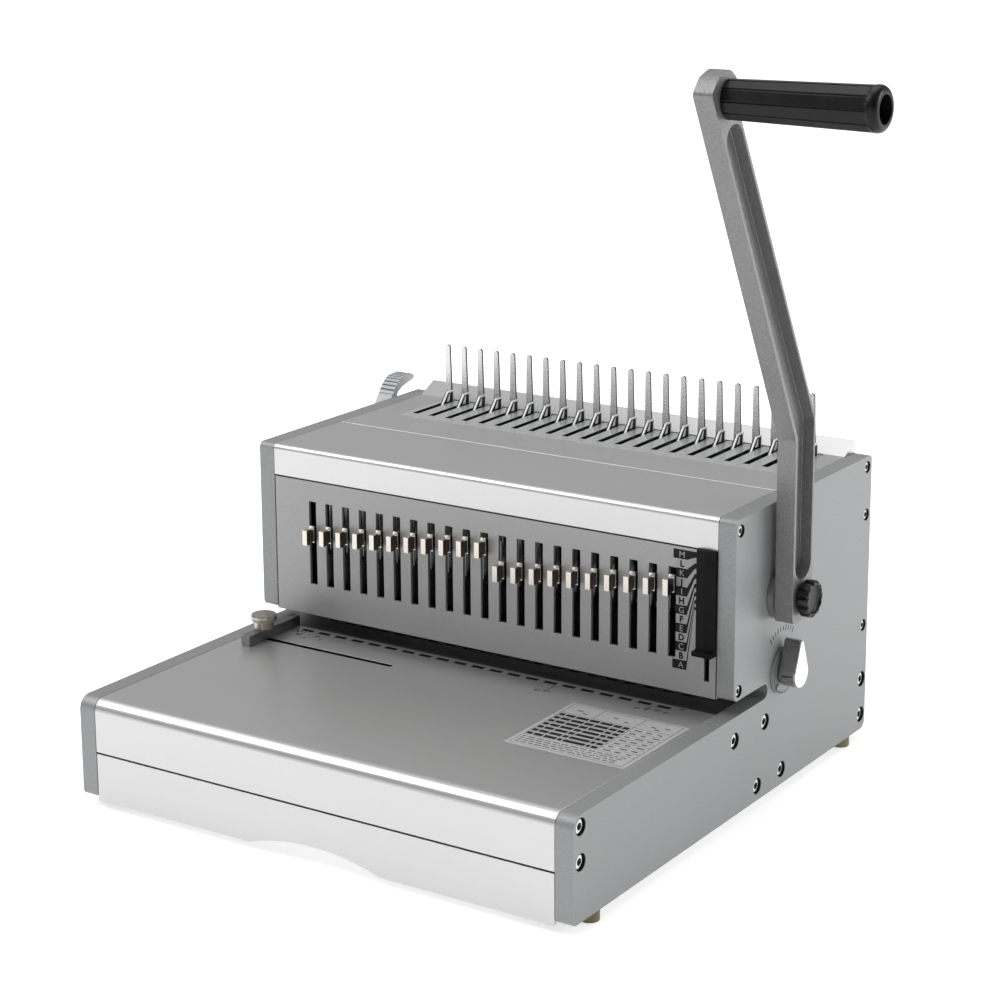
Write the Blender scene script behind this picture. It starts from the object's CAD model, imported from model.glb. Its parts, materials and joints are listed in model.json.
import json
import math

import bmesh
import bpy
from mathutils import Matrix, Vector


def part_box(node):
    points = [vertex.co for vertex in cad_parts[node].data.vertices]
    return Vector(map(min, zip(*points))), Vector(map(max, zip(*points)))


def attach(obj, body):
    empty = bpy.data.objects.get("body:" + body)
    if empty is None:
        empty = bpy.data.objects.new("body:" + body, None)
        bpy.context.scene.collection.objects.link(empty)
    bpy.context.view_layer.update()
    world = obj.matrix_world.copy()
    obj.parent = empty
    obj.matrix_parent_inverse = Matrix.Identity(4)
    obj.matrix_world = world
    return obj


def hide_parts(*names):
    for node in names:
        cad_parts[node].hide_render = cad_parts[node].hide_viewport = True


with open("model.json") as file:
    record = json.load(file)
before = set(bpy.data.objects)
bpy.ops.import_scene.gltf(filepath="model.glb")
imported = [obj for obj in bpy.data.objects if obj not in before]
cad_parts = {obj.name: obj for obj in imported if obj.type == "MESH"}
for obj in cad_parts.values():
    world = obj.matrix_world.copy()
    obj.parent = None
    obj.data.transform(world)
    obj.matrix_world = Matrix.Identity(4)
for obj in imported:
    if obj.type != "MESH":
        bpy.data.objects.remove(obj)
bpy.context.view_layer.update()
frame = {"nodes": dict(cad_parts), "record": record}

MM = 0.001
RECORD = frame["record"]
NODES = frame["nodes"]
SLOT = {s["node"]: s["material_slot"] for s in RECORD["subparts"]}
BODY = {n: b for b, members in RECORD["behaviour"]["bodies"].items() for n in members}
scene = bpy.context.scene

# The machine's own frame, in millimetres: x from its middle, y from the front of the side
# plates, z from the plates' bottom edge
plate_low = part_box("side_plate_left")[0]
plate_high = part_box("side_plate_right")[1]
ORIGIN = Vector(((plate_low.x + plate_high.x) / 2, plate_low.y, plate_low.z))


def at(x, y, z):
    return ORIGIN + Vector((x, y, z)) * MM


def span(node):
    """A node's lowest and highest corners in the machine's own frame, in millimetres."""
    return tuple((corner - ORIGIN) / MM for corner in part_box(node))


# ---- Materials ----
class Shader:
    """A Principled material with a few helpers for building its nodes."""

    def __init__(self, name, **fixed):
        self.material = bpy.data.materials.new(name)
        self.material.use_nodes = True
        self.tree = self.material.node_tree
        self.bsdf = self.tree.nodes["Principled BSDF"]
        self.place = self.add("ShaderNodeTexCoord").outputs["Object"]
        for socket, value in fixed.items():
            self.bsdf.inputs[socket.replace("_", " ")].default_value = value

    def add(self, kind, inputs=None, **props):
        node = self.tree.nodes.new(kind)
        for key, value in props.items():
            setattr(node, key, value)
        for key, value in (inputs or {}).items():
            self.set(node.inputs[key], value)
        return node

    def set(self, socket, value):
        if isinstance(value, bpy.types.NodeSocket):
            self.tree.links.new(value, socket)
        else:
            socket.default_value = value

    def stretched(self, scale):
        return self.add("ShaderNodeMapping", {"Vector": self.place, "Scale": scale}).outputs[0]

    def noise(self, size_mm, detail=2.0, rough=0.5, place=None):
        """Noise with features about size_mm across."""
        node = self.add("ShaderNodeTexNoise", {
            "Vector": place or self.place, "Scale": 1 / (size_mm * MM),
            "Detail": detail, "Roughness": rough})
        return node.outputs["Fac"]

    def cells(self, size_mm):
        node = self.add("ShaderNodeTexVoronoi", {
            "Vector": self.place, "Scale": 1 / (size_mm * MM), "Smoothness": 0.6},
            feature="SMOOTH_F1")
        return node.outputs["Distance"]

    def fit(self, value, low, high, to_low, to_high):
        node = self.add("ShaderNodeMapRange", {
            "Value": value, "From Min": low, "From Max": high,
            "To Min": to_low, "To Max": to_high})
        return node.outputs[0]

    def mix(self, factor, a, b):
        node = self.add("ShaderNodeMix", data_type="RGBA")
        self.set(node.inputs["Factor"], factor)
        self.set(node.inputs[6], a)
        self.set(node.inputs[7], b)
        return node.outputs[2]

    def bump(self, height, depth_mm):
        node = self.add("ShaderNodeBump", {
            "Height": height, "Distance": depth_mm * MM, "Strength": 1.0})
        return node.outputs[0]

    def out(self, **sockets):
        for socket, value in sockets.items():
            self.set(self.bsdf.inputs[socket.replace("_", " ")], value)
        return self.material


def grey(value, warm=0.0):
    return (value * (1 + warm), value, value * (1 - warm), 1)


def paint(name, base, spread, metallic, rough, grain_mm, grain_depth, cloud=0.03, tint=0.0,
          hammered=False):
    """Metallic or plain paint: flakes and grain at grain_mm, faint clouds over the sheet."""
    s = Shader(name, Metallic=metallic)
    flakes = s.noise(grain_mm, 3, 0.6)
    clouds = s.noise(55, 2, 0.5)
    dark, light = grey(base - spread, tint), grey(base + spread, tint)
    clouded = grey(base * (1 - cloud * 4), tint)
    colour = s.mix(s.fit(flakes, 0.3, 0.7, 0, 1), dark, light)
    colour = s.mix(s.fit(clouds, 0.3, 0.7, 0, cloud * 4), colour, clouded)
    relief = s.cells(grain_mm * 1.4) if hammered else s.noise(grain_mm * 1.3, 3, 0.55)
    rough_map = s.fit(flakes, 0.3, 0.7, rough - 0.05, rough + 0.05)
    return s.out(Base_Color=colour, Roughness=rough_map, Normal=s.bump(relief, grain_depth))


def ground(name, base, rough, tint=0.0, line_mm=0.35, depth=0.012):
    """Ground or drawn metal: fine lines along X and a little tone variation."""
    s = Shader(name, Metallic=1.0)
    lines = s.noise(line_mm, 2, 0.6, s.stretched((0.02, 1, 1)))
    tone = s.noise(18, 2)
    colour = s.mix(s.fit(tone, 0.3, 0.7, 0, 1), grey(base * 0.93, tint), grey(base * 1.05, tint))
    colour = s.mix(s.fit(lines, 0.35, 0.65, 0, 0.35), colour, grey(base * 0.8, tint))
    return s.out(Base_Color=colour, Roughness=s.fit(lines, 0.3, 0.7, rough - 0.06, rough + 0.08),
                 Normal=s.bump(lines, depth))


def moulded(name, colour_a, colour_b, rough, grain_mm, depth, **fixed):
    """Moulded plastic or rubber with a fine eroded grain."""
    s = Shader(name, **fixed)
    grain = s.noise(grain_mm, 3, 0.6)
    tone = s.noise(12, 3)
    return s.out(Base_Color=s.mix(s.fit(tone, 0.35, 0.65, 0, 1), colour_a, colour_b),
                 Roughness=s.fit(grain, 0.3, 0.7, rough - 0.06, rough + 0.08),
                 Normal=s.bump(grain, depth))


LOOKS = {
    "powder_grey": paint("powder_grey", 0.28, 0.035, 0.35, 0.46, 1.1, 0.08, tint=-0.012),
    "hammered_grey": paint("hammered_grey", 0.21, 0.035, 0.45, 0.38, 1.5, 0.14, hammered=True),
    "satin_silver": paint("satin_silver", 0.58, 0.025, 0.80, 0.33, 0.45, 0.008, cloud=0.02),
    "panel_grey": paint("panel_grey", 0.33, 0.03, 0.45, 0.42, 0.6, 0.025),
    "tool_steel": ground("tool_steel", 0.30, 0.36),
    "bright_steel": ground("bright_steel", 0.50, 0.26, line_mm=0.25, depth=0.004),
    "satin_zinc": paint("satin_zinc", 0.60, 0.02, 0.60, 0.24, 0.5, 0.004, cloud=0.02, tint=-0.01),
    "chrome_wire": ground("chrome_wire", 0.86, 0.08, depth=0.002),
    "nickel": paint("nickel", 0.62, 0.012, 0.90, 0.26, 0.5, 0.002, cloud=0.01, tint=0.09),
    "bronze": ground("bronze", 0.40, 0.35, tint=0.4),
    "black_plastic": moulded("black_plastic", grey(0.003), grey(0.006), 0.32, 0.4, 0.010,
                             Specular_IOR_Level=0.35),
    "opener_grey": moulded("opener_grey", grey(0.40, -0.04), grey(0.46, -0.04), 0.30, 0.5, 0.015),
    "grip_rubber": moulded("grip_rubber", grey(0.003), grey(0.006), 0.30, 0.35, 0.008,
                           Specular_IOR_Level=0.22),
    "foot_rubber": moulded("foot_rubber", (0.13, 0.12, 0.06, 1), (0.18, 0.16, 0.08, 1), 0.7,
                           0.6, 0.05),
}
# Finishes of single nodes, where the shade inside the machine or a rougher cut calls for them
LOOKS_OF = {
    "punch_dies": ground("die_steel", 0.20, 0.20, line_mm=0.6, depth=0.002),
    "ram_bar": ground("ram_steel", 0.08, 0.35),
    "comb_prongs": paint("prong_steel", 0.68, 0.012, 0.70, 0.28, 0.6, 0.002, cloud=0.02),
    "guide_thumb_screw": paint("knurled_nickel", 0.46, 0.012, 0.90, 0.22, 0.5, 0.002, cloud=0.01,
                               tint=0.09),
    "hook_carriage": ground("carriage_steel", 0.03, 0.50),
    "plate_screws": ground("screw_steel", 0.72, 0.16, line_mm=0.25, depth=0.004),
    "gauge_slider": moulded("slider_black", grey(0.002), grey(0.004), 0.42, 0.4, 0.010,
                            Specular_IOR_Level=0.12),
}
KNOB_SIDE = ground("knob_side", 0.34, 0.20, line_mm=0.3, depth=0.006)
INK = moulded("printed_black", grey(0.004), grey(0.008), 0.5, 0.2, 0.002, Specular_IOR_Level=0.2)
HOOK_RIM = paint("hook_rim", 0.90, 0.01, 0.0, 0.30, 0.5, 0.002, cloud=0.01)
LEVER_GROOVE = moulded("lever_groove", grey(0.05), grey(0.07), 0.40, 0.3, 0.004)
SHADED_STEEL = ground("shaded_steel", 0.05, 0.35)
TAB_SIDE = ground("tab_side", 0.07, 0.30, tint=0.12)
SILVER_INK = paint("printed_silver", 0.30, 0.02, 0.3, 0.45, 0.4, 0.004)
PAPER = moulded("label_film", grey(0.40), grey(0.44), 0.45, 0.3, 0.003)


# ---- Making pieces ----
def make(name, bm, materials, body, smooth=None):
    """A new piece from a bmesh in metres, riding on a body."""
    mesh = bpy.data.meshes.new(name)
    bm.to_mesh(mesh)
    bm.free()
    for m in materials:
        mesh.materials.append(m)
    if smooth is not None:
        for p in mesh.polygons:
            p.use_smooth = True
        mesh.set_sharp_from_angle(angle=math.radians(smooth))
    piece = bpy.data.objects.new(name, mesh)
    scene.collection.objects.link(piece)
    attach(piece, body)
    return piece


def look_of(node):
    return LOOKS_OF.get(node, LOOKS[SLOT[node]])


def bevel(piece, width_mm, segments=2, angle=30):
    m = piece.modifiers.new("edges", "BEVEL")
    m.width = width_mm * MM
    m.segments = segments
    m.limit_method = "ANGLE"
    m.angle_limit = math.radians(angle)
    m.harden_normals = True
    m.miter_outer = "MITER_ARC"


def welded(node):
    """A bmesh of a CAD node with its doubled vertices joined."""
    bm = bmesh.new()
    bm.from_mesh(NODES[node].data)
    bmesh.ops.remove_doubles(bm, verts=bm.verts, dist=2e-6)
    return bm


def dressed(node, width_mm, merge=True, seam_mm=0.0):
    """A copy of a CAD node with its flat faces merged and its edges softened, which replaces it.
    seam_mm draws its two ends in, for a thin gap against the side plates."""
    bm = welded(node)
    if seam_mm:
        low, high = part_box(node)
        for v in bm.verts:
            if v.co.x < low.x + 1e-5:
                v.co.x += seam_mm * MM
            elif v.co.x > high.x - 1e-5:
                v.co.x -= seam_mm * MM
    if merge:
        bmesh.ops.dissolve_limit(bm, angle_limit=math.radians(0.4), verts=bm.verts,
                                 edges=bm.edges)
    piece = make(node + "_look", bm, [look_of(node)], BODY[node], smooth=28)
    if "custom_normal" in piece.data.attributes:
        piece.data.attributes.remove(piece.data.attributes["custom_normal"])
    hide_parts(node)
    bevel(piece, width_mm)
    return piece


def shade(piece, look, test):
    """Gives the faces that pass a test of (normal, centre in millimetres) a second finish."""
    mesh = piece.data
    mesh.materials.append(look)
    for p in mesh.polygons:
        if test(p.normal, (p.center - ORIGIN) / MM):
            p.material_index = len(mesh.materials) - 1


# Inner nodes keep their CAD mesh, and every node gets its finish
for node, obj in NODES.items():
    obj.data.materials.clear()
    obj.data.materials.append(look_of(node))

SOFT_EDGES = {
    "side_plate_left": 0.7, "side_plate_right": 0.7, "handle_arm": 0.8, "table_cover": 0.3,
    "drawer_front": 0.4, "front_panel": 0.35, "top_cover": 0.35, "rear_top_panel": 0.3,
    "rear_cover": 0.3, "comb_deck": 0.06, "comb_prongs": 0.3,
    "edge_guide": 0.5, "margin_dial_plate": 0.3, "rubber_feet": 0.5,
    "die_guide_block": 0.3, "gauge_slider": 0.4,
}
PIERCED = ("front_panel", "comb_deck", "table_cover", "die_guide_block", "rear_top_panel")
SEAMED = ("front_panel", "top_cover", "table_cover", "rear_top_panel", "rear_cover")
SEAM = 0.3
copies = {}
for node, width in SOFT_EDGES.items():
    copies[node] = dressed(node, width, merge=node not in PIERCED,
                           seam_mm=SEAM if node in SEAMED else 0.0)
shade(copies["comb_prongs"], SHADED_STEEL, lambda n, c: n.x > 0.7 or n.z > 0.15)
# The deck's slots are dark inside. The limit takes in the deck's left end, and it leaves the far
# wall of the last slot and the deck's right end light
DECK_DARK_TO = 156
shade(copies["comb_deck"], SHADED_STEEL, lambda n, c: abs(n.x) > 0.9 and c.x < DECK_DARK_TO)
# The edge guide's slot in the table is dark inside
GUIDE_SLOT_Y, GUIDE_SLOT_HALF = 156.5, 2.1
GUIDE_SLOT_LEFT, GUIDE_SLOT_RIGHT = -164, -51
shade(copies["table_cover"], INK,
      lambda n, c: abs(n.z) < 0.5 and abs(c.y - GUIDE_SLOT_Y) < GUIDE_SLOT_HALF
      and GUIDE_SLOT_LEFT < c.x < GUIDE_SLOT_RIGHT)
for node in NODES:
    if node.startswith("pull_pin_"):
        shade(dressed(node, 0.25), TAB_SIDE, lambda n, c: n.x > 0.7)


# ---- Turned pieces: grip, star knob, thumb screw ----
def turned(bm, profile, steps, place, radius=None, closed=True):
    """Adds a surface of revolution. profile lists (radius, height); place(height, u, v) gives a
    point in metres; radius(r, h, angle) can shape it. A closed profile is a ring, and an open
    one is capped flat at both ends."""
    rows = []
    for r, h in profile:
        row = []
        for k in range(steps):
            a = 2 * math.pi * k / steps
            q = radius(r, h, a) if radius else r
            row.append(bm.verts.new(place(h, q * math.cos(a), q * math.sin(a))))
        rows.append(row)
    for low, high in zip(rows, rows[1:] + rows[:1] if closed else rows[1:]):
        for k in range(steps):
            n = (k + 1) % steps
            bm.faces.new((low[k], low[n], high[n], high[k]))
    if not closed:
        bm.faces.new(rows[0][::-1])
        bm.faces.new(rows[-1])
    bmesh.ops.recalc_face_normals(bm, faces=bm.faces)


def arc(centre_r, centre_h, radius, start, end, steps):
    """Points of a rounded profile corner, angles in degrees from the outward radius."""
    out = []
    for k in range(steps + 1):
        a = math.radians(start + (end - start) * k / steps)
        out.append((centre_r + radius * math.cos(a), centre_h + radius * math.sin(a)))
    return out


def ease(t):
    t = min(1, max(0, t))
    return t * t * (3 - 2 * t)


# The grip: its flat lands and the grooves between them, how far they run, its radius at the arm,
# its bore, the radius within which nothing is fluted, and the recess in its end
FACETS = 10
GROOVE_DEPTH = 0.75
GROOVE_HALF = 0.6
FACET_END = 91.7
GRIP_START = 12.0
GRIP_BORE, GRIP_CORE = 6.05, 10.5
GRIP_RECESS, RECESS_DEPTH = 8.2, 13


def grip():
    """Ten flat lands with narrow grooves between them, a plain collar and a hollow end."""
    low, high = span("handle_grip")
    length = high.x - low.x
    full = (high.y - low.y) / 2
    cy, cz = (low.y + high.y) / 2, (low.z + high.z) / 2

    def outer(h):
        return GRIP_START + (full - GRIP_START) * h / length

    def radius(r, h, a):
        if r < GRIP_CORE or h > FACET_END + 0.5:
            return r
        t = (a * FACETS / (2 * math.pi)) % 1.0 - 0.5
        half = math.pi / FACETS
        flat = r * math.cos(half) / math.cos(t * 2 * half) + 0.15
        off = (0.5 - abs(t)) * 2 * half * r
        groove = GROOVE_DEPTH * ease(1.3 - off / GROOVE_HALF)
        inside = ease((FACET_END + 0.5 - h) / 1.0) * ease(h / 1.5 + 0.3)
        return r + (min(flat, r) - groove - r) * inside

    stations = [0.6, 1.2, 2.2, 10, 25, 45, 65, 82, 89, 91, 91.5, 91.8, 92.1, 92.4, 92.9]
    profile = [(GRIP_BORE, 0), (outer(0) - 0.8, 0)] + [(outer(h), h) for h in stations]
    profile += arc(full - 4.2, length - 4.2, 4.15, 4, 84, 8)
    profile += arc(8.9, length - 0.65, 0.6, 80, 180, 5)
    profile += [(GRIP_RECESS, length - RECESS_DEPTH), (GRIP_BORE, length - RECESS_DEPTH)]
    bm = bmesh.new()
    turned(bm, profile, FACETS * 26, lambda h, u, v: at(low.x + h, cy + u, cz + v), radius)
    piece = make("grip_fluted", bm, [LOOKS["grip_rubber"]], "handle", smooth=24)
    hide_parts("handle_grip")


def star_knob():
    """A knob with twelve lobes, a dished face and the shaft's bore in its back."""
    low, high = span("handle_knob")
    cy, cz = (low.y + high.y) / 2, (low.z + high.z) / 2
    full = (high.y - low.y) / 2
    depth = high.x - low.x
    lobes, hub, notch, notch_share = 12, 10.2, 1.5, 0.27
    bore, bore_depth = 4.05, 5.95

    def radius(r, h, a):
        if r < hub:
            return r
        t = (a * lobes / (2 * math.pi)) % 1.0 - 0.5
        return r - notch * ease(1 - abs(t) / notch_share)

    back = [(0.8, bore_depth), (bore, bore_depth), (bore, 0), (8, 0), (8, 1.6), (10.4, 1.6)]
    rim = [(full - 0.5, 1.7), (full, 2.3), (full, depth - 1.4), (full - 0.5, depth - 0.6),
           (full - 1.3, depth - 0.1)]
    dish = [(10.3, depth), (9.6, depth), (9.0, depth - 0.7), (8.6, depth - 1.6),
            (7.4, depth - 2.2), (4, depth - 2.45), (0.8, depth - 2.5)]
    bm = bmesh.new()
    turned(bm, back + rim + dish, lobes * 12,
           lambda h, u, v: at(low.x + h, cy + u, cz + v), radius, closed=False)
    piece = make("star_knob", bm, [LOOKS["black_plastic"]], "lock_knob", smooth=35)
    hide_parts("handle_knob")


def thumb_screw():
    """A knurled head on a plain neck and a thin screw."""
    low, high = span("guide_thumb_screw")
    cx, cy = (low.x + high.x) / 2, (low.y + high.y) / 2
    full = (high.x - low.x) / 2
    top = high.z
    neck = top - 10.35
    teeth, tooth_depth = 44, 0.24

    def radius(r, h, a):
        if r < full - 0.3:
            return r
        return r - tooth_depth * (0.5 + 0.5 * math.cos(a * teeth))

    profile = [(1.6, low.z), (1.6, neck), (6.2, neck), (6.6, neck + 0.4), (6.6, top - 5.2),
               (6.9, top - 4.8), (full - 0.35, top - 4.6), (full, top - 4.2),
               (full, top - 0.9), (full - 0.2, top - 0.5), (full - 0.55, top - 0.05),
               (full - 1.1, top), (full - 1.7, top - 0.05), (3, top - 0.15), (0.6, top - 0.15)]
    bm = bmesh.new()
    turned(bm, profile, teeth * 4, lambda h, u, v: at(cx + u, cy + v, h), radius, closed=False)
    piece = make("thumb_screw_knurled", bm, [look_of("guide_thumb_screw")], "thumb_screw",
                 smooth=35)
    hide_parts("guide_thumb_screw")


def islands(node):
    """Boxes of a node's separate solids, in millimetres, as (low, high)."""
    bm = welded(node)
    seen, boxes = set(), []
    for start in bm.verts:
        if start in seen:
            continue
        group, edge = [], [start]
        seen.add(start)
        while edge:
            v = edge.pop()
            group.append((v.co - ORIGIN) / MM)
            for e in v.link_edges:
                w = e.other_vert(v)
                if w not in seen:
                    seen.add(w)
                    edge.append(w)
        boxes.append((Vector([min(p[k] for p in group) for k in range(3)]),
                      Vector([max(p[k] for p in group) for k in range(3)])))
    bm.free()
    return boxes


def socket_screws():
    """Bright socket screws sunk in dark counterbores, one at each screw of the side plates."""
    bm = bmesh.new()
    face = span("side_plate_right")[1].x
    for low, high in islands("plate_screws"):
        side = 1 if high.x > 0 else -1
        hole = (high.y - low.y) / 2
        cy, cz = (low.y + high.y) / 2, (low.z + high.z) / 2
        head, socket = hole * 0.86, hole * 0.48
        sunk = 1.1 if hole > 4.5 else 0.9

        def place(h, u, v):
            return at(side * (face - h), cy + u, cz + v)

        def hexagon(r, h, a):
            if r > socket + 0.01:
                return r
            off = (a + 0.4) % (math.pi / 3) - math.pi / 6
            return r * math.cos(math.pi / 6) / math.cos(off)

        turned(bm, [(socket, sunk), (head - 0.5, sunk), (head - 0.15, sunk + 0.15),
                    (head, sunk + 0.5), (head, sunk + 1.2), (socket, sunk + 1.2)],
               48, place, hexagon)
        before = len(bm.faces)
        deep = sunk + 1.5
        turned(bm, [(hole - 0.02, 0.12), (hole - 0.02, deep), (0.5, deep), (0.5, deep - 0.3),
                    (hole - 0.22, deep - 0.3), (hole - 0.22, 0.12)], 48, place)
        bm.faces.ensure_lookup_table()
        for f in bm.faces[before:]:
            f.material_index = 1
    piece = make("socket_screws", bm, [look_of("plate_screws"), INK], "frame",
                 smooth=35)
    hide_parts("plate_screws")


def ring_film(name, node, width, look):
    """A thin dark line around a round plate's edge."""
    low, high = span(node)
    r = (high.y - low.y) / 2
    cy, cz = (low.y + high.y) / 2, (low.z + high.z) / 2
    bm = bmesh.new()
    top = high.x + 0.05
    turned(bm, [(r - width, high.x), (r, high.x), (r, top), (r - width, top)], 72,
           lambda h, u, v: at(h, cy + u, cz + v))
    make(name, bm, [look], BODY[node])


grip()
star_knob()
thumb_screw()
socket_screws()
ring_film("dial_line", "margin_dial_plate", 0.55, INK)


# ---- Pieces cut from an outline ----
def extruded(bm, outline, place, low, high, mat=0):
    """Adds a prism: outline is a list of (u, v), counter-clockwise or not, from low to high."""
    a = [bm.verts.new(place(low, u, v)) for u, v in outline]
    b = [bm.verts.new(place(high, u, v)) for u, v in outline]
    faces = [bm.faces.new(a[::-1]), bm.faces.new(b)]
    n = len(outline)
    for k in range(n):
        m = (k + 1) % n
        faces.append(bm.faces.new((a[k], a[m], b[m], b[k])))
    for f in faces:
        f.material_index = mat
    bmesh.ops.recalc_face_normals(bm, faces=faces)
    return faces


def along_x(h, u, v):
    return at(h, u, v)


def along_y(h, u, v):
    return at(u, h, v)


def along_z(h, u, v):
    return at(u, v, h)


# The opener lever's shaft, as (y, z), its hub, and the ribs on its thumb rest
LEVER_SHAFT = (332, 163.5)
LEVER_HUB = 11
RIB_HEIGHT, RIB_STEPS = 0.5, 8


def circle(centre, r, degrees):
    """Points on a circle at the given angles."""
    return [(centre[0] + r * math.cos(math.radians(a)), centre[1] + r * math.sin(math.radians(a)))
            for a in degrees]


def rib(a, b):
    """Points from a up to b along one small round rib, to the left of the way."""
    (ay, az), (by, bz) = a, b
    length = math.hypot(by - ay, bz - az)
    ny, nz = (az - bz) / length, (by - ay) / length
    out = []
    for k in range(RIB_STEPS):
        t = k / RIB_STEPS
        rise = RIB_HEIGHT * math.sqrt(abs(math.sin(math.pi * t)))
        out.append((ay + (by - ay) * t + ny * rise, az + (bz - az) * t + nz * rise))
    return out


def opener_lever():
    """The lever from its hub, up its rear edge, round the tip and down the ribbed thumb rest."""
    low, high = span("comb_lever")
    hub = circle(LEVER_SHAFT, LEVER_HUB, range(140, 331, 10))
    rear = [(361, 197), (365, 199.6), (370, 201.5), (379, 203.3), (381.2, 204.2), (382, 205.2),
            (381.9, 206.6), (381, 207.5)]
    tip = [(379.4, 208.2), (377.5, 208.7)]
    rest = [(376.5, 208.8), (372.5, 208.8), (369, 208.7), (366, 208), (363.4, 206.8),
            (360.6, 204.8), (358.3, 202.6), (356, 199.8), (353.8, 196.8)]
    ribs = [point for a, b in zip(rest, rest[1:]) for point in rib(a, b)]
    front = [rest[-1], (350.6, 192.2), (341, 178)]
    bm = bmesh.new()
    faces = extruded(bm, hub + rear + tip + ribs + front, along_x, low.x, high.x)
    # The two end faces come before the sides; a rib's first and last sides form the groove
    first = 2 + len(hub + rear + tip)
    for k in range(len(ribs)):
        if k % RIB_STEPS in (0, RIB_STEPS - 1):
            faces[first + k].material_index = 1
    piece = make("opener_lever_ribbed", bm, [LOOKS["opener_grey"], LEVER_GROOVE], "opener_lever",
                 smooth=40)
    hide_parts("comb_lever")


# The margin knob's axis, as (y, z)
MARGIN_AXIS = (255.6, 80.1)


def margin_control():
    """The drop-shaped knob: a darker body with a bright face, on a short spindle."""
    low, high = span("margin_knob")
    cy, cz = MARGIN_AXIS
    face = high.x
    back = span("margin_dial_plate")[1].x + 0.4
    corner = 0.9

    def drop(r, tip, half):
        return circle(MARGIN_AXIS, r, range(158, 383, 8)) + [
            (cy + half, cz + tip - corner), (cy + half - corner, cz + tip),
            (cy - half + corner, cz + tip), (cy - half, cz + tip - corner)]

    bm = bmesh.new()
    extruded(bm, drop(9.5, 22.5, 2.3), along_x, back, face - 1.1)
    turned(bm, [(3, low.x), (3, back)], 32, lambda h, u, v: at(h, cy + u, cz + v), closed=False)
    piece = make("margin_knob_body", bm, [KNOB_SIDE], "margin_control", smooth=30)
    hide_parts("margin_knob")
    bevel(piece, 0.4, 2, 35)
    bm = bmesh.new()
    extruded(bm, drop(9.2, 22.2, 2.0), along_x, face - 1.15, face)
    bevel(make("margin_knob_face", bm, [LOOKS["chrome_wire"]], "margin_control",
               smooth=30), 0.5, 3, 35)


def hooks():
    """The hooks: a dark web with a window, and a bright rim along its front, top and back."""
    low, high = span("comb_hooks")
    deck = span("comb_deck")[1].z
    front, back = 347, 365.2
    web = [(front, low.z), (350.3, low.z), (351.8, deck - 1.5), (363.4, deck - 1.5),
           (363.4, low.z), (back, low.z), (back, high.z - 0.6), (357.9, high.z - 0.6)]
    rim = [(front, low.z), (357.2, high.z), (back, high.z), (back, deck - 1), (364.0, deck - 1),
           (364.0, high.z - 1.0), (357.8, high.z - 1.0), (348.2, low.z)]
    window = [(355.6, deck + 0.8), (359.4, deck + 0.8), (360.2, high.z - 1.8),
              (359.2, high.z - 1.8)]
    bm = bmesh.new()
    for box_low, box_high in sorted(islands("comb_hooks"), key=lambda box: box[0].x):
        left, right = box_low.x, box_high.x
        extruded(bm, web, along_x, left + 0.2, right - 0.15, 1)
        extruded(bm, rim, along_x, right - 1.1, right, 0)
        extruded(bm, window, along_x, right - 0.3, right - 0.05, 0)
    piece = make("hooks_bent", bm, [HOOK_RIM, INK], "hook_slide")
    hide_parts("comb_hooks")


opener_lever()
margin_control()
hooks()


# ---- Printed marks: thin films on their sheet, and thinner ones on the label ----
FILM = 0.04
LABEL_FILM = 0.02
# The dies' row, which the marks on the table follow
DIES, DIE_PITCH = 21, 14.2875


def bar(bm, place, level, u0, v0, u1, v1, mat=0, film=FILM):
    extruded(bm, [(u0, v0), (u1, v0), (u1, v1), (u0, v1)], place, level, level + film, mat)


def letter_mesh(bm, text, height, place, level, u, v, mat, bold):
    """Adds a letter as a thin solid, centred at u, v."""
    curve = bpy.data.curves.new("letter", "FONT")
    curve.body = text
    curve.size = height * 1.4
    curve.align_x = "CENTER"
    curve.resolution_u = 3
    curve.offset = bold
    obj = bpy.data.objects.new("letter", curve)
    scene.collection.objects.link(obj)
    bpy.context.view_layer.update()
    depsgraph = bpy.context.evaluated_depsgraph_get()
    flat = bpy.data.meshes.new_from_object(obj.evaluated_get(depsgraph))
    for polygon in flat.polygons:
        outline = [(u + flat.vertices[i].co.x, v + flat.vertices[i].co.y - height / 2)
                   for i in polygon.vertices]
        extruded(bm, outline, place, level, level + FILM, mat)
    bpy.data.objects.remove(obj)
    bpy.data.curves.remove(curve)
    bpy.data.meshes.remove(flat)


def thickness_gauge():
    """The scale of comb sizes beside the slider: lettered blocks and a fan of stripes."""
    face = span("front_panel")[0].y
    step, top, middle = 6.075, 171.6, 153.5
    bm = bmesh.new()

    def right(k):
        return top - (3.9 * k - 0.075 * k * k)

    letters = "MLKJIHGFEDCBA"
    for k, letter in enumerate(letters):
        z1, z0 = top - step * k, top - step * (k + 1)
        left = 143.4 if k in (0, len(letters) - 1) else 145.6
        mat = k % 2
        bar(bm, along_y, face - FILM, left, z0, middle, z1, mat)
        extruded(bm, [(middle, z1), (middle, z0), (158.9, right(k + 1)), (161, right(k + 1)),
                      (161, right(k)), (158.9, right(k))], along_y, face - FILM, face, mat)
        letter_mesh(bm, letter, 4.1, along_y, face - 2 * FILM, 149.6, (z0 + z1) / 2, 1 - mat,
                    bold=0.0 if mat == 0 else 0.25)
    make("thickness_gauge", bm, [INK, SILVER_INK], "frame")


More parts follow.
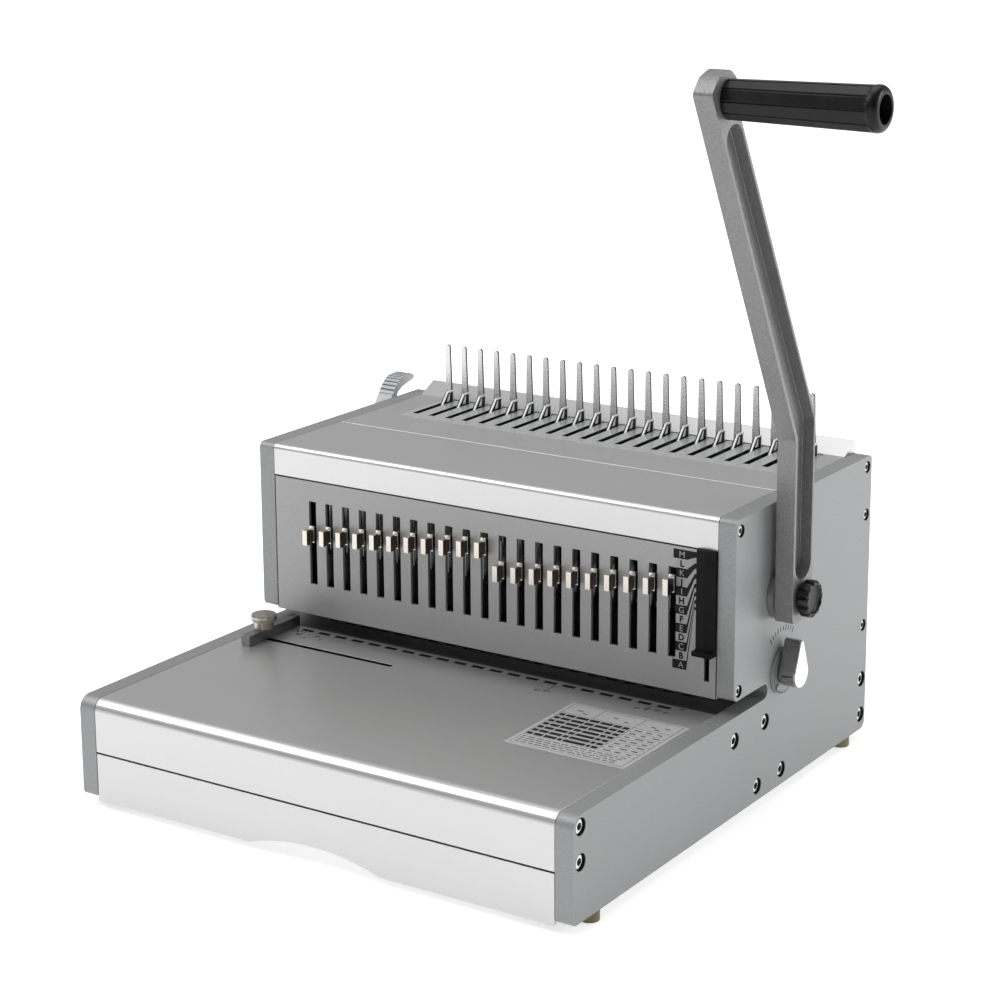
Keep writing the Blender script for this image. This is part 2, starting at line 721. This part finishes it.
def table_marks():
    table = span("table_cover")[1].z
    bm = bmesh.new()
    for k in range(DIES):
        x = (k - DIES // 2) * DIE_PITCH - 2
        bar(bm, along_z, table, x - 4.8, 183.6, x + 4.8, 187.3)
    # Alignment lines and small generic marks at both ends of the row and at its middle
    for x, y, w in ((-148, 176, 5), (-140, 172, 3), (-133, 178, 4), (-127, 174, 3), (-152, 181, 6),
                    (53, 169, 5), (59, 170.5, 5), (125, 175, 4), (131, 177, 5), (138, 178, 5),
                    (145, 177, 4), (151, 188, 4)):
        bar(bm, along_z, table, x, y, x + w, y + 0.9)
        bar(bm, along_z, table, x + 0.4, y - 1.7, x + w * 0.6, y - 1.0)
    for x in (-144.8, 60.5, 133.5):
        bar(bm, along_z, table, x, 172, x + 0.5, 183.5)
    make("table_marks", bm, [INK], "frame")


def size_label():
    """The film with a table of sizes: rows of bars and thin lines, no wording."""
    table = span("table_cover")[1].z
    x0, x1, y0, y1 = 87.6, 173.2, 80.5, 161.5
    bm = bmesh.new()
    bar(bm, along_z, table, x0, y0, x1, y1, 0)
    up = table + FILM

    def line(ax, ay, bx, by, w=0.35):
        bar(bm, along_z, up, min(ax, bx) - w / 2, min(ay, by) - w / 2,
            max(ax, bx) + w / 2, max(ay, by) + w / 2, 1, LABEL_FILM)

    def mark(ax, ay, bx, by):
        bar(bm, along_z, up, ax, ay, bx, by, 1, LABEL_FILM)

    left, right, low, high = 90.2, 170.2, 83.4, 159.4
    heading, column, last_column = 143.5, 113.4, 143.2
    line(left, low, right, low)
    line(left, high, right, high)
    line(left, low, left, high)
    line(right, low, right, high)
    for x in (column, last_column):
        line(x, heading, x, high)
    line(last_column, 99, last_column, heading)
    line(left, heading, right, heading)
    # Seven rows of wide bars, with three short marks in the last column
    row_top, row_step, third = 139.8, 6.35, 8.2
    for k in range(7):
        y = row_top - k * row_step
        cuts = [left + 0.8, 96, 103.5, column, 121.5 - k * 0.7, 131 + k * 0.5, 137.5, 142.9]
        for a, b in zip(cuts, cuts[1:]):
            mark(a, y - 1.9, b - 0.9, y + 1.9)
        line(left, y - 3.2, right, y - 3.2, 0.25)
        for m in range(3):
            mark(146 + m * third, y - 0.7, 151.4 + m * third - (k + m) % 3, y + 0.6)
    # Four lines of short marks below them, of uneven lengths
    note_top, note_step, gap = 95.6, 3.1, 1.3
    for k in range(4):
        y = note_top - k * note_step
        x = left + 1.6
        while x < right - 6:
            w = 2.4 + (x * 7.3 + k * 3.7) % 3.6
            mark(x, y - 0.5, x + w, y + 0.45)
            x += w + gap
    for x, y in ((98, 151), (103, 148), (124, 151.5), (133, 148.5), (152, 150), (161, 152),
                 (156, 147)):
        mark(x, y - 0.6, x + 3.6, y + 0.6)
    make("size_label", bm, [PAPER, INK], "frame")


def margin_ticks():
    """The arc of ticks over the margin knob, on the right plate."""
    face = span("side_plate_right")[1].x
    (cy, cz), r = MARGIN_AXIS, 28
    first, step = 123, 7.4
    bm = bmesh.new()
    for k in range(10):
        a = math.radians(first - k * step)
        c, d = math.cos(a), math.sin(a)
        half_long, half_wide = (1.5 if k % 3 else 2.1), 0.42
        corners = [(cy + c * (r + s * half_long) - d * t * half_wide,
                    cz + d * (r + s * half_long) + c * t * half_wide)
                   for s, t in ((-1, -1), (1, -1), (1, 1), (-1, 1))]
        extruded(bm, corners, along_x, face, face + FILM)
    make("margin_ticks", bm, [INK], "frame")


def seam_lines():
    """The dark gaps around the front panel, under the strip and beside the plates."""
    low, high = span("front_panel")
    under_strip, beside = 0.7, 0.5
    bm = bmesh.new()
    bar(bm, along_y, low.y - FILM, low.x + SEAM, high.z - under_strip, high.x - SEAM, high.z)
    for x in (low.x + SEAM, high.x - SEAM - beside):
        bar(bm, along_y, low.y - FILM, x, low.z, x + beside, high.z - under_strip)
    make("seam_lines", bm, [INK], "frame")


seam_lines()
thickness_gauge()
table_marks()
size_label()
margin_ticks()

# ---- Camera: placed by a fit to the photo's perspective, angles in degrees ----
AZIMUTH, ELEVATION, LEAN = 33.126, 13.622, -0.247
camera_data = bpy.data.cameras.new("camera")
camera = bpy.data.objects.new("camera", camera_data)
scene.collection.objects.link(camera)
scene.camera = camera
camera.location = at(888, -1129.3, 625.6)
camera_data.lens = 90.3
camera_data.sensor_width = 36
camera_data.shift_x = -0.0172
camera_data.shift_y = -0.0864
camera_data.clip_end = 100
turn = Matrix.Rotation(math.radians(AZIMUTH), 4, "Z")
tilt = Matrix.Rotation(math.radians(90 - ELEVATION), 4, "X")
roll = Matrix.Rotation(math.radians(LEAN), 4, "Z")
camera.rotation_euler = (turn @ tilt @ roll).to_euler()


# ---- Floor and light ----
def stage_floor():
    bm = bmesh.new()
    bmesh.ops.create_grid(bm, x_segments=8, y_segments=8, size=25)
    mesh = bpy.data.meshes.new("floor")
    bm.to_mesh(mesh)
    bm.free()
    s = Shader("floor_white", Roughness=0.9, Specular_IOR_Level=0.1)
    away = s.add("ShaderNodeVectorMath", {0: s.place}, operation="LENGTH").outputs["Value"]
    mesh.materials.append(s.out(
        Base_Color=s.mix(s.noise(900, 2), grey(0.80), grey(0.82)),
        Emission_Color=grey(1.0), Emission_Strength=s.fit(away, 0.3, 1.6, 0.58, 0.95)))
    floor = bpy.data.objects.new("floor", mesh)
    scene.collection.objects.link(floor)


def soft_box(name, place, target, size, power):
    """A square area light at a place in metres, turned to a target."""
    data = bpy.data.lights.new(name, "AREA")
    data.energy = power
    data.shape = "RECTANGLE"
    data.size = size
    data.size_y = size
    light = bpy.data.objects.new(name, data)
    scene.collection.objects.link(light)
    light.location = place
    light.rotation_euler = (Vector(target) - Vector(place)).to_track_quat("-Z", "Y").to_euler()


def studio_world():
    """An even studio, brighter overhead and towards the back left, darker behind the camera."""
    world = bpy.data.worlds.new("studio")
    scene.world = world
    world.use_nodes = True
    tree = world.node_tree
    background = tree.nodes["Background"]

    def node(kind, **props):
        n = tree.nodes.new(kind)
        for key, value in props.items():
            setattr(n, key, value)
        return n

    place = node("ShaderNodeTexCoord")
    parts = node("ShaderNodeSeparateXYZ")
    tree.links.new(place.outputs["Generated"], parts.inputs[0])
    total = None
    for axis, low, high in (("X", 0.07, -0.07), ("Y", -0.09, 0.09), ("Z", 0.24, 0.40)):
        level = node("ShaderNodeMapRange")
        level.inputs["From Min"].default_value = -1.0 if axis != "Z" else 0.0
        level.inputs["From Max"].default_value = 1.0
        level.inputs["To Min"].default_value = low
        level.inputs["To Max"].default_value = high
        tree.links.new(parts.outputs[axis], level.inputs["Value"])
        if total is None:
            total = level.outputs[0]
        else:
            both = node("ShaderNodeMath", operation="ADD")
            tree.links.new(total, both.inputs[0])
            tree.links.new(level.outputs[0], both.inputs[1])
            total = both.outputs[0]
    tree.links.new(total, background.inputs["Strength"])
    background.inputs["Color"].default_value = grey(1.0)


stage_floor()
studio_world()
soft_box("key_left", (-1.35, -0.8, 1.9), (0, 0, 0.1), 1.5, 30)
soft_box("overhead", (-0.1, 0.5, 2.4), (0, 0, 0.1), 1.8, 20)
soft_box("side_right", (1.9, 1.25, 0.9), (0.1, 0, 0.15), 0.9, 20)
soft_box("front_low", (0.1, -2.3, 0.50), (0, 0, 0.10), 1.3, 4)
scene.view_settings.view_transform = "Standard"
